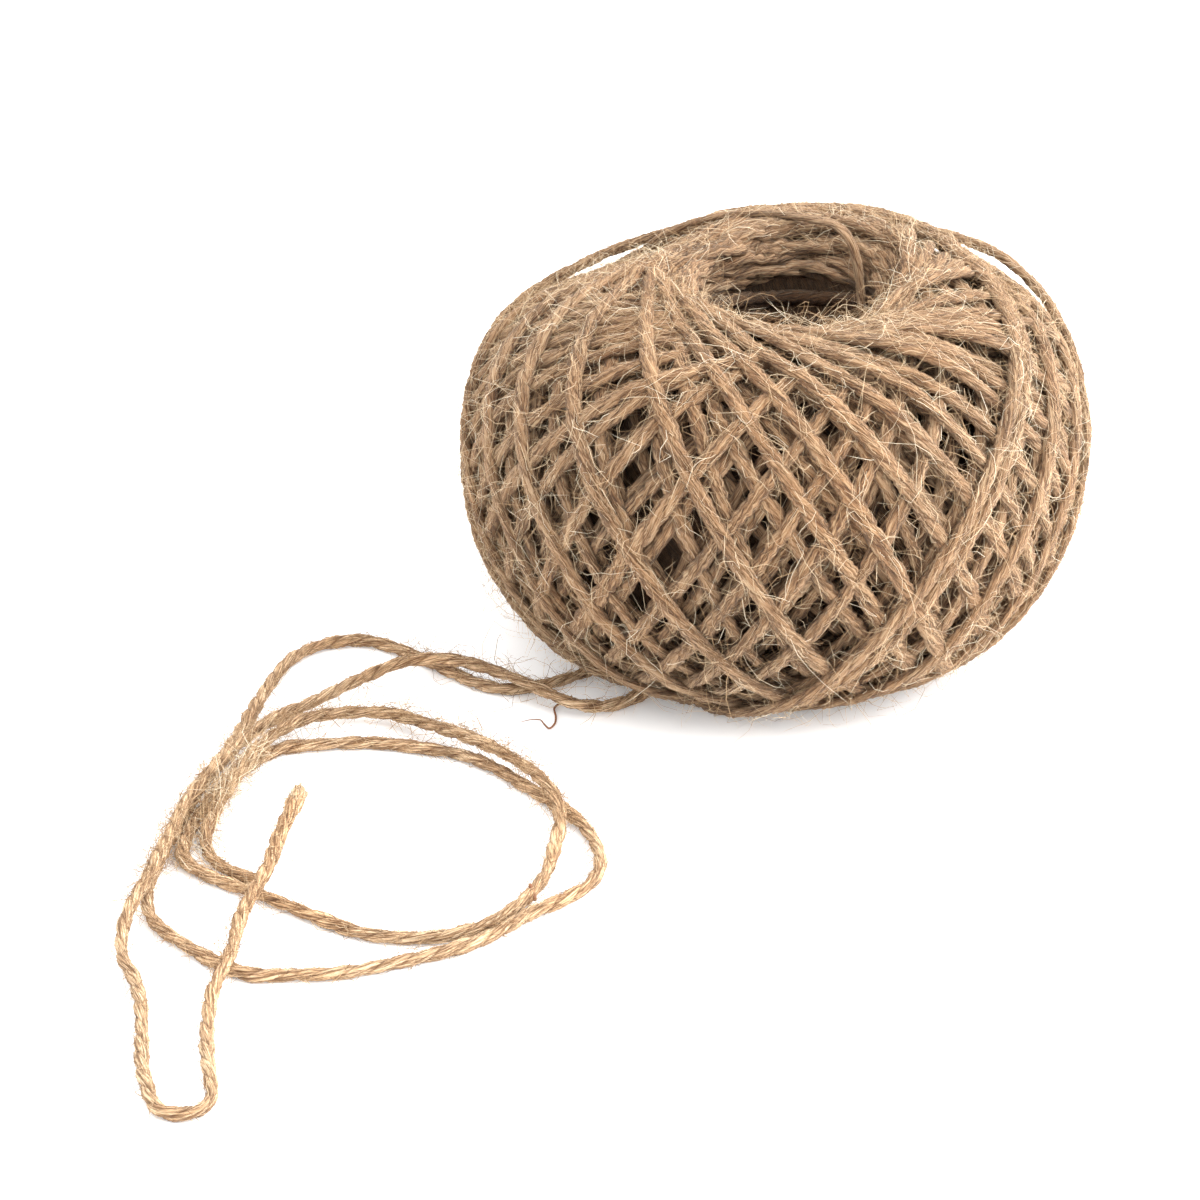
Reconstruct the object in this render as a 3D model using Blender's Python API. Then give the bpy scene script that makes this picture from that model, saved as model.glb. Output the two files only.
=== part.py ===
"""A wound ball of jute twine with its two loose ends lying in front of it.

The ball is a squat ring of crossed windings around an open hole. It stands on
the flat spot at the bottom of the ring, with the hole upright. The twine's outer
end leaves the underside as a tail that doubles back on itself, and the inner end
comes round from the back and lies beside the ball in two loose loops.
Units are metres, +Z is up, and the origin is the middle of the flat spot.
"""

import math

import bpy
import numpy as np

MM = 0.001

# Driving dimensions, in millimetres.
TWINE_DIAMETER = 1.8
BALL_WIDTH = 90.0
BALL_HEIGHT = 57.0
CREST_RADIUS = 15.0  # ring on which the top and the bottom of the winding are furthest apart
WAIST_RADIUS = 7.5  # narrowest place of the hole, at mid height
OUTER_FULLNESS = 2.4  # 2 is an ellipse, more is squarer
HOLE_FULLNESS = 2.0
HOLE_LEAN = 0.085  # sideways shift of the hole for each millimetre of height
FLAT_SPOT_DEPTH = 0.25  # what lies lower than this is pressed flat on the surface

# The winding's main twists: strands that lean over as they run down the outside.
STRAND_COLUMNS = 36
STRAND_RELIEF = 1.5
STRAND_LEAN = math.radians(96.0)  # turned about the axis between the top and the bottom
OUTER_ROWS = 26
HOLE_ROWS = 14

# The loose ends: a bevel of this resolution gives a tube with 8 sides.
CORD_SIDES_RESOLUTION = 2
TAIL_POINTS = 33
LOOPS_POINTS = 50

# Route of the outer end: out from under the ball, over the loops' first run, along
# the left side, back on itself in front and across the loops to its bare tip.
TAIL_ROUTE = (
    # x, y, z
    (-20.5, -24.1, 0.95),
    (-25.0, -27.5, 1.23),
    (-29.5, -28.5, 2.27),
    (-35.0, -25.0, 3.15),
    (-40.5, -20.5, 3.23),
    (-46.6, -17.0, 3.23),
    (-53.6, -16.7, 2.83),
    (-60.1, -21.0, 2.11),
    (-66.6, -28.1, 2.03),
    (-71.1, -33.8, 2.67),
    (-74.6, -40.5, 3.23),
    (-78.5, -49.6, 3.23),
    (-81.2, -58.4, 3.23),
    (-83.0, -68.6, 3.23),
    (-84.7, -79.6, 3.23),
    (-86.6, -87.9, 2.75),
    (-87.1, -92.8, 1.71),
    (-86.5, -97.6, 1.07),
    (-84.9, -101.5, 0.95),
    (-83.4, -107.5, 0.95),
    (-82.4, -116.5, 0.95),
    (-81.7, -123.5, 0.95),
    (-80.7, -127.6, 0.95),
    (-79.9, -130.9, 0.95),
    (-78.5, -133.2, 0.95),
    (-76.3, -134.0, 0.95),
    (-73.8, -133.0, 0.95),
    (-72.7, -130.6, 0.95),
    (-73.0, -126.8, 0.95),
    (-73.8, -121.5, 0.95),
    (-74.4, -114.5, 1.20),
    (-74.2, -107.0, 2.20),
    (-72.6, -100.2, 3.15),
    (-71.7, -89.6, 3.39),
    (-69.1, -78.3, 3.95),
    (-67.9, -70.4, 4.75),
    (-65.8, -60.9, 5.79),
)

# Route of the inner end: out from under the ball, down the left side, round the outer
# loop, round the inner loop and up to its bare end beside the inner loop's turn.
LOOPS_ROUTE = (
    # x, y, z
    (-28.0, -16.6, 0.95),
    (-31.5, -19.1, 0.95),
    (-35.0, -21.1, 0.95),
    (-39.5, -21.6, 0.95),
    (-44.0, -19.1, 0.95),
    (-48.5, -14.6, 0.95),
    (-54.0, -9.6, 0.95),
    (-60.0, -6.1, 0.95),
    (-65.5, -7.1, 0.95),
    (-70.0, -11.6, 0.95),
    (-73.0, -20.6, 0.95),
    (-75.5, -32.1, 0.95),
    (-78.5, -44.6, 0.95),
    (-81.1, -54.1, 0.95),
    (-82.8, -63.6, 0.95),
    (-84.5, -73.1, 0.95),
    (-85.0, -80.7, 0.95),
    (-83.5, -87.7, 0.95),
    (-79.0, -93.7, 0.95),
    (-74.5, -98.2, 0.95),
    (-70.0, -101.2, 0.95),
    (-64.1, -101.2, 0.95),
    (-58.0, -100.7, 0.95),
    (-51.5, -98.2, 0.95),
    (-46.0, -95.7, 0.95),
    (-40.5, -92.2, 0.95),
    (-34.5, -85.6, 0.95),
    (-30.0, -81.7, 0.95),
    (-26.8, -77.9, 0.95),
    (-25.5, -73.1, 0.95),
    (-26.0, -67.6, 0.95),
    (-28.0, -61.6, 0.95),
    (-31.5, -56.1, 0.95),
    (-36.0, -50.6, 0.95),
    (-40.0, -45.6, 0.95),
    (-45.0, -41.6, 0.95),
    (-50.5, -39.6, 0.95),
    (-57.5, -38.1, 0.95),
    (-64.5, -38.6, 0.95),
    (-70.1, -40.0, 0.95),
    (-74.5, -45.6, 0.95),
    (-77.8, -52.6, 0.95),
    (-80.2, -60.1, 0.95),
    (-81.2, -66.1, 0.95),
    (-81.0, -71.1, 0.95),
    (-79.0, -74.2, 0.95),
    (-75.5, -77.2, 0.95),
    (-70.0, -80.9, 0.95),
    (-63.0, -86.2, 0.95),
    (-56.4, -90.7, 0.95),
    (-50.5, -92.0, 0.95),
    (-44.8, -91.2, 0.95),
    (-40.4, -88.6, 0.95),
    (-36.6, -84.2, 0.95),
    (-32.9, -76.0, 0.95),
    (-31.5, -67.3, 1.15),
    (-30.9, -63.2, 2.03),
    (-31.5, -58.2, 2.99),
    (-34.0, -52.1, 3.23),
    (-38.0, -46.5, 3.23),
    (-43.0, -41.1, 3.07),
    (-49.5, -35.4, 2.43),
    (-56.0, -30.7, 1.79),
    (-62.0, -30.7, 1.79),
    (-67.1, -33.9, 2.51),
    (-70.6, -39.5, 3.23),
    (-73.6, -46.0, 3.23),
    (-75.6, -52.7, 2.99),
    (-77.3, -58.6, 2.19),
    (-78.3, -63.5, 1.31),
    (-78.2, -68.1, 0.95),
    (-77.0, -71.4, 0.95),
    (-74.3, -74.7, 0.95),
    (-70.6, -77.2, 0.95),
)


def clear_scene():
    for scene_object in list(bpy.data.objects):
        bpy.data.objects.remove(scene_object, do_unlink=True)


def twine_material(name, colour, roughness):
    material = bpy.data.materials.new(name)
    material.use_nodes = True
    shader = material.node_tree.nodes["Principled BSDF"]
    shader.inputs["Base Color"].default_value = (*colour, 1.0)
    shader.inputs["Roughness"].default_value = roughness
    shader.inputs["Metallic"].default_value = 0.0
    return material


def superellipse(angle, fullness):
    """Returns the cosine-like and sine-like parts of a rounded square's outline."""
    power = 2.0 / fullness
    across = np.abs(np.cos(angle)) ** power
    along = np.sign(np.sin(angle)) * np.abs(np.sin(angle)) ** power
    return across, along


def even_arc(start_radius, reach, fullness, rows):
    """One side of the ring's section, bottom to top, in rows of even length.

    r = start_radius + reach * |cos t|^(2/fullness), z = h + h * sin t^(2/fullness),
    with h half the ball's height. The last row is left to the other side.
    """
    dense = np.linspace(-math.pi / 2, math.pi / 2, 721)
    across, along = superellipse(dense, fullness)
    radius = start_radius + reach * across
    height = BALL_HEIGHT / 2 * (1.0 + along)
    length = np.concatenate(([0.0], np.cumsum(np.hypot(np.diff(radius), np.diff(height)))))
    wanted = np.linspace(0.0, length[-1], rows, endpoint=False)
    return np.interp(wanted, length, radius), np.interp(wanted, length, height)


def ball_vertices():
    """The ring of crossed windings as a grid of section rows and strand columns."""
    half = BALL_HEIGHT / 2
    outer_r, outer_z = even_arc(
        CREST_RADIUS, BALL_WIDTH / 2 - STRAND_RELIEF - CREST_RADIUS, OUTER_FULLNESS, OUTER_ROWS
    )
    hole_r, hole_z = even_arc(CREST_RADIUS, WAIST_RADIUS - CREST_RADIUS, HOLE_FULLNESS, HOLE_ROWS)
    radius = np.concatenate((outer_r, hole_r))
    height = np.concatenate((outer_z, BALL_HEIGHT - hole_z))
    lean_outer = STRAND_LEAN * (0.5 - np.arange(OUTER_ROWS) / OUTER_ROWS)
    lean_hole = STRAND_LEAN * (np.arange(HOLE_ROWS) / HOLE_ROWS - 0.5)
    lean = np.concatenate((lean_outer, lean_hole))

    columns = 2 * STRAND_COLUMNS
    turn = 2.0 * math.pi * np.arange(columns) / columns
    angle = turn[None, :] + lean[:, None]

    # Every second column is the crown of a strand, and the relief fades into the hole.
    crown = (np.arange(columns) % 2)[None, :]
    fade = np.clip((radius - CREST_RADIUS) / (BALL_WIDTH / 4 - CREST_RADIUS), 0.0, 1.0)[:, None]
    relief = STRAND_RELIEF * crown * fade
    spread = radius[:, None] + relief
    rise = height[:, None] + relief * (height[:, None] - half) / half * 0.5

    x = spread * np.cos(angle) + HOLE_LEAN * (rise - half)
    y = spread * np.sin(angle)
    z = np.where(rise < FLAT_SPOT_DEPTH, 0.0, np.minimum(rise, BALL_HEIGHT))
    points = np.stack((x, y, z), axis=-1)
    middle = (points.min(axis=(0, 1)) + points.max(axis=(0, 1))) / 2
    points[..., :2] -= middle[:2]
    return points


def make_ball():
    points = ball_vertices()
    rows, columns = points.shape[:2]
    faces = []
    for row in range(rows):
        next_row = (row + 1) % rows
        for column in range(columns):
            next_column = (column + 1) % columns
            faces.append(
                (
                    row * columns + column,
                    row * columns + next_column,
                    next_row * columns + next_column,
                    next_row * columns + column,
                )
            )
    mesh = bpy.data.meshes.new("wound_ball")
    mesh.from_pydata((points.reshape(-1, 3) * MM).tolist(), [], faces)
    mesh.shade_smooth()
    ball = bpy.data.objects.new("wound_ball", mesh)
    bpy.context.collection.objects.link(ball)
    mesh.materials.append(twine_material("jute_winding", (0.36, 0.23, 0.12), 0.9))
    return ball


def smooth_route(route, steps=24):
    """A centripetal Catmull-Rom curve through the route's points, as close points."""
    points = np.array(route, dtype=float)
    points = np.vstack((2 * points[0] - points[1], points, 2 * points[-1] - points[-2]))
    knots = np.concatenate(
        ([0.0], np.cumsum(np.sqrt(np.linalg.norm(np.diff(points, axis=0), axis=1))))
    )
    pieces = []
    for i in range(1, len(points) - 2):
        t0, t1, t2, t3 = knots[i - 1 : i + 3]
        p0, p1, p2, p3 = points[i - 1 : i + 3]
        t = np.linspace(t1, t2, steps, endpoint=False)[:, None]
        a1 = (t1 - t) / (t1 - t0) * p0 + (t - t0) / (t1 - t0) * p1
        a2 = (t2 - t) / (t2 - t1) * p1 + (t - t1) / (t2 - t1) * p2
        a3 = (t3 - t) / (t3 - t2) * p2 + (t - t2) / (t3 - t2) * p3
        b1 = (t2 - t) / (t2 - t0) * a1 + (t - t0) / (t2 - t0) * a2
        b2 = (t3 - t) / (t3 - t1) * a2 + (t - t1) / (t3 - t1) * a3
        pieces.append((t2 - t) / (t2 - t1) * b1 + (t - t1) / (t2 - t1) * b2)
    return np.vstack((*pieces, points[-2]))


def spaced(curve, count):
    """Picks count points along the curve, closer together where it bends more."""
    step = np.diff(curve, axis=0)
    length = np.linalg.norm(step, axis=1)
    heading = step / length[:, None]
    turning = np.zeros(len(length))
    turning[1:] = np.arccos(np.clip((heading[1:] * heading[:-1]).sum(axis=1), -1.0, 1.0))
    effort = np.concatenate(([0.0], np.cumsum(length + 10.0 * turning)))
    wanted = np.linspace(0.0, effort[-1], count)
    return np.stack([np.interp(wanted, effort, curve[:, axis]) for axis in range(3)], axis=-1)


def make_cord(name, route, count, colour):
    points = spaced(smooth_route(route), count) * MM
    curve = bpy.data.curves.new(name, "CURVE")
    curve.dimensions = "3D"
    curve.bevel_depth = TWINE_DIAMETER / 2 * MM
    curve.bevel_resolution = CORD_SIDES_RESOLUTION
    curve.use_fill_caps = True
    spline = curve.splines.new("POLY")
    spline.points.add(count - 1)
    for spline_point, point in zip(spline.points, points):
        spline_point.co = (*point, 1.0)
    cord = bpy.data.objects.new(name, curve)
    bpy.context.collection.objects.link(cord)
    curve.materials.append(twine_material(name + "_jute", colour, 0.9))
    return cord


clear_scene()
make_ball()
make_cord("tail_end", TAIL_ROUTE, TAIL_POINTS, (0.50, 0.33, 0.18))
make_cord("looped_end", LOOPS_ROUTE, LOOPS_POINTS, (0.44, 0.29, 0.15))
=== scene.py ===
import math

import bpy
import numpy as np
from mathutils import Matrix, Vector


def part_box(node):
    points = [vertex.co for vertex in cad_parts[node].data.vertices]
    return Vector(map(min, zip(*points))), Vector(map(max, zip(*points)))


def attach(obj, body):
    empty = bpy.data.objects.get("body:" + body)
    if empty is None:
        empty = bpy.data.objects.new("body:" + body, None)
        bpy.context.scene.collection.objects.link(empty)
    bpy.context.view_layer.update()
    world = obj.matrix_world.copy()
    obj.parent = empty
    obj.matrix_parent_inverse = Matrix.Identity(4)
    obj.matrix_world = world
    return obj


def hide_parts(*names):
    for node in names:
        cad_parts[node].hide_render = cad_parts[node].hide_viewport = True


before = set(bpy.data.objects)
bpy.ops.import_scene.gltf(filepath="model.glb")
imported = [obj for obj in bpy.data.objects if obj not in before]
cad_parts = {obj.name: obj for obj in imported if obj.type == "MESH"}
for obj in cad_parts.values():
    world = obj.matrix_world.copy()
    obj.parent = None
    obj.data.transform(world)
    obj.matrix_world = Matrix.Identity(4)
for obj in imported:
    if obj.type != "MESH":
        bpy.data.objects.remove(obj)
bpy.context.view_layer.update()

# Camera. It looks down at 26 degrees from the side where the loose ends lie, from far
# enough away for a long lens. The aim lies between the ball and the loose ends.
ball_low, ball_high = (np.array(corner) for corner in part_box("wound_ball"))
LENS_TILT = math.radians(26.0)
LENS_PLACE = (-0.0255, -0.5928, 0.2937)
FRAME_WIDTH = 36.0
LENS_LENGTH = 134.5

camera_data = bpy.data.cameras.new("camera")
camera_data.sensor_width = FRAME_WIDTH
camera_data.lens = LENS_LENGTH
camera_data.clip_start = 0.01
camera = bpy.data.objects.new("camera", camera_data)
camera.location = LENS_PLACE
camera.rotation_euler = (math.pi / 2 - LENS_TILT, 0.0, 0.0)
bpy.context.collection.objects.link(camera)
bpy.context.scene.camera = camera


# The twine's two loose ends.
# Two plies of jute laid together, about 1.8 mm thick, dry and springy. The tail runs over
# the other end, doubles back in front and ends bare, and the other end lies in two loops.
MM = 0.001
TWINE = 1.8 * MM
LAY_LENGTH = 8.0 * MM  # one full turn of the two plies
TABLE_GAP = 0.02 * MM  # no part of a strand lies lower than this

TAIL_ROUTE = (
    (-20.5, -24.1, 0.95), (-25.0, -27.5, 1.23), (-29.5, -28.5, 2.27), (-35.0, -25.0, 3.15),
    (-40.5, -20.5, 3.23), (-46.6, -17.0, 3.23), (-53.6, -16.7, 2.83), (-60.1, -21.0, 2.11),
    (-66.6, -28.1, 2.03), (-71.1, -33.8, 2.67), (-74.6, -40.5, 3.23), (-78.5, -49.6, 3.23),
    (-81.2, -58.4, 3.23), (-83.0, -68.6, 3.23), (-84.7, -79.6, 3.23), (-86.6, -87.9, 2.75),
    (-87.1, -92.8, 1.71), (-86.5, -97.6, 1.07), (-84.9, -101.5, 0.95),
    (-83.4, -107.5, 0.95), (-82.4, -116.5, 0.95), (-81.7, -123.5, 0.95),
    (-80.7, -127.6, 0.95), (-79.9, -130.9, 0.95), (-78.5, -133.2, 0.95),
    (-76.3, -134.0, 0.95), (-73.8, -133.0, 0.95), (-72.7, -130.6, 0.95),
    (-73.0, -126.8, 0.95), (-73.8, -121.5, 0.95), (-74.4, -114.5, 1.20),
    (-74.2, -107.0, 2.20), (-72.6, -100.2, 3.15), (-71.7, -89.6, 3.39),
    (-69.1, -78.3, 3.95), (-67.9, -70.4, 4.75), (-65.8, -60.9, 5.79),
)
LOOPS_ROUTE = (
    (-28.0, -16.6, 0.95), (-31.5, -19.1, 0.95), (-35.0, -21.1, 0.95), (-39.5, -21.6, 0.95),
    (-44.0, -19.1, 0.95), (-48.5, -14.6, 0.95), (-54.0, -9.6, 0.95), (-60.0, -6.1, 0.95),
    (-65.5, -7.1, 0.95), (-70.0, -11.6, 0.95), (-73.0, -20.6, 0.95), (-75.5, -32.1, 0.95),
    (-78.5, -44.6, 0.95), (-81.1, -54.1, 0.95), (-82.8, -63.6, 0.95), (-84.5, -73.1, 0.95),
    (-85.0, -80.7, 0.95), (-83.5, -87.7, 0.95), (-79.0, -93.7, 0.95), (-74.5, -98.2, 0.95),
    (-70.0, -101.2, 0.95), (-64.1, -101.2, 0.95), (-58.0, -100.7, 0.95),
    (-51.5, -98.2, 0.95), (-46.0, -95.7, 0.95), (-40.5, -92.2, 0.95), (-34.5, -85.6, 0.95),
    (-30.0, -81.7, 0.95), (-26.8, -77.9, 0.95), (-25.5, -73.1, 0.95), (-26.0, -67.6, 0.95),
    (-28.0, -61.6, 0.95), (-31.5, -56.1, 0.95), (-36.0, -50.6, 0.95), (-40.0, -45.6, 0.95),
    (-45.0, -41.6, 0.95), (-50.5, -39.6, 0.95), (-57.5, -38.1, 0.95), (-64.5, -38.6, 0.95),
    (-70.1, -40.0, 0.95), (-74.5, -45.6, 0.95), (-77.8, -52.6, 0.95), (-80.2, -60.1, 0.95),
    (-81.2, -66.1, 0.95), (-81.0, -71.1, 0.95), (-79.0, -74.2, 0.95), (-75.5, -77.2, 0.95),
    (-70.0, -80.9, 0.95), (-63.0, -86.2, 0.95), (-56.4, -90.7, 0.95), (-50.5, -92.0, 0.95),
    (-44.8, -91.2, 0.95), (-40.4, -88.6, 0.95), (-36.6, -84.2, 0.95), (-32.9, -76.0, 0.95),
    (-31.5, -67.3, 1.15), (-30.9, -63.2, 2.03), (-31.5, -58.2, 2.99), (-34.0, -52.1, 3.23),
    (-38.0, -46.5, 3.23), (-43.0, -41.1, 3.07), (-49.5, -35.4, 2.43), (-56.0, -30.7, 1.79),
    (-62.0, -30.7, 1.79), (-67.1, -33.9, 2.51), (-70.6, -39.5, 3.23), (-73.6, -46.0, 3.23),
    (-75.6, -52.7, 2.99), (-77.3, -58.6, 2.19), (-78.3, -63.5, 1.31), (-78.2, -68.1, 0.95),
    (-77.0, -71.4, 0.95), (-74.3, -74.7, 0.95), (-70.6, -77.2, 0.95),
)


def smooth_route(route, steps=24):
    """Centripetal Catmull-Rom curve: piecewise cubic p(t) through the points, with knots
    t[i+1] - t[i] = sqrt(|p[i+1] - p[i]|), worked out by nested linear blends a, b and c."""
    points = np.array(route, dtype=float) * MM
    points = np.vstack((2 * points[0] - points[1], points, 2 * points[-1] - points[-2]))
    knots = np.cumsum(np.sqrt(np.linalg.norm(np.diff(points, axis=0), axis=1)))
    knots = np.concatenate(([0.0], knots))
    t0, t1, t2, t3 = (knots[i : len(knots) - 3 + i][:, None, None] for i in range(4))
    p0, p1, p2, p3 = (points[i : len(points) - 3 + i][:, None, :] for i in range(4))
    t = t1 + (t2 - t1) * (np.arange(steps) / steps)[None, :, None]
    a1 = (t1 - t) / (t1 - t0) * p0 + (t - t0) / (t1 - t0) * p1
    a2 = (t2 - t) / (t2 - t1) * p1 + (t - t1) / (t2 - t1) * p2
    a3 = (t3 - t) / (t3 - t2) * p2 + (t - t2) / (t3 - t2) * p3
    b1 = (t2 - t) / (t2 - t0) * a1 + (t - t0) / (t2 - t0) * a2
    b2 = (t3 - t) / (t3 - t1) * a2 + (t - t1) / (t3 - t1) * a3
    curve = (t2 - t) / (t2 - t1) * b1 + (t - t1) / (t2 - t1) * b2
    return np.vstack((curve.reshape(-1, 3), points[-2]))


def even(curve, spacing):
    """The same line with its points a fixed arc length apart: p(k * spacing)."""
    length = np.concatenate(([0.0], np.cumsum(np.linalg.norm(np.diff(curve, axis=0), axis=1))))
    count = max(int(round(length[-1] / spacing)), 2) + 1
    wanted = np.linspace(0.0, length[-1], count)
    line = np.stack([np.interp(wanted, length, curve[:, axis]) for axis in range(3)], axis=-1)
    return line, wanted


def wander(along, wavelength, seed):
    """Smooth noise along a line, between about -1 and 1: four sine waves with random
    phases, sum of sin(2 pi s / (w * g) + phase) / 2, for g = 1, 1.7, 2.9 and 4.3."""
    draw = np.random.default_rng(seed)
    total = np.zeros_like(along)
    for stretch in (1.0, 1.7, 2.9, 4.3):
        total += np.sin(2 * math.pi * along / (wavelength * stretch) + draw.uniform(0, 2 * math.pi))
    return total / 2


def strand_surface(name, line, along, outward, width, height, sides, lay, depth, rough, seed):
    """A laid strand. At arc length s and angle a its surface is
    p(s) + R * (cos(a + w) * width / 2 * side + sin(a + w) * height / 2 * outward), with
    w = 2 pi s / lay for the S lay. R = 1 - depth * (1 - |sin a|^0.7), times 1 + rough *
    noise, gives the grooves between the two plies, which the grid's columns follow."""
    ahead = np.gradient(line, axis=0)
    ahead /= np.linalg.norm(ahead, axis=1)[:, None]
    up = outward - (outward * ahead).sum(axis=1)[:, None] * ahead
    up /= np.linalg.norm(up, axis=1)[:, None]
    side = np.cross(ahead, up)
    a = 2 * math.pi * np.arange(sides) / sides
    turn = a + 2 * math.pi * along[:, None] / lay
    groove = 1.0 - depth * (1.0 - np.abs(np.sin(a)) ** 0.7)
    noise = np.random.default_rng(seed).standard_normal((len(along), sides))
    groove = groove * (1.0 + rough * noise)
    across = (groove * np.cos(turn) * width[:, None] / 2)[..., None]
    out = (groove * np.sin(turn) * height[:, None] / 2)[..., None]
    grid = line[:, None, :] + across * side[:, None, :] + out * up[:, None, :]
    return strand_mesh(name, grid, along)


def strand_mesh(name, grid, along):
    """Joins a grid of rings into a closed tube with a UV map: u = a / 2 pi round the strand
    and v = s in metres along it. Each end of the tube is one polygon."""
    rows, sides = grid.shape[:2]
    index = np.arange(rows * sides).reshape(rows, sides)
    after = np.roll(index, -1, axis=1)
    quads = np.stack((index[:-1], after[:-1], after[1:], index[1:]), axis=-1)
    ends = np.concatenate((index[0, ::-1], index[-1]))
    grid[..., 2] = np.maximum(grid[..., 2], TABLE_GAP)
    mesh = bpy.data.meshes.new(name)
    mesh.vertices.add(index.size)
    mesh.vertices.foreach_set("co", grid.reshape(-1))
    mesh.loops.add(quads.size + ends.size)
    mesh.loops.foreach_set("vertex_index", np.concatenate((quads.reshape(-1), ends)))
    count = quads.size // 4
    starts = np.concatenate((np.arange(count) * 4, count * 4 + np.arange(2) * sides))
    mesh.polygons.add(len(starts))
    mesh.polygons.foreach_set("loop_start", starts)
    mesh.polygons.foreach_set("use_smooth", np.ones(len(starts), dtype=bool))
    shape = (rows - 1, sides)
    u = np.arange(sides) / sides
    corner_u = (u, u + 1 / sides, u + 1 / sides, u)
    corner_v = (along[:-1], along[:-1], along[1:], along[1:])
    quad_u = np.stack([np.broadcast_to(corner, shape) for corner in corner_u], axis=-1)
    quad_v = np.stack([np.broadcast_to(corner[:, None], shape) for corner in corner_v], axis=-1)
    end_u = np.concatenate((u[::-1], u))
    end_v = np.repeat(along[[0, -1]], sides)
    uv = np.concatenate((
        np.stack((quad_u, quad_v), axis=-1).reshape(-1, 2), np.stack((end_u, end_v), axis=-1)
    ))
    mesh.uv_layers.new(name="strand").data.foreach_set("uv", uv.reshape(-1))
    mesh.update(calc_edges=True)
    mesh.validate()
    piece = bpy.data.objects.new(name, mesh)
    bpy.context.collection.objects.link(piece)
    return piece


def colour_ramp(nodes, stops):
    """Colour ramp node with a stop for each pair of place and colour, in rising order."""
    ramp = nodes.new("ShaderNodeValToRGB")
    elements = ramp.color_ramp.elements
    elements[0].position = stops[0][0]
    elements[1].position = stops[-1][0]
    for place, _ in stops[1:-1]:
        elements.new(place)
    for element, (_, colour) in zip(elements, stops):
        element.color = (*colour, 1.0)
    return ramp


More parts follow.
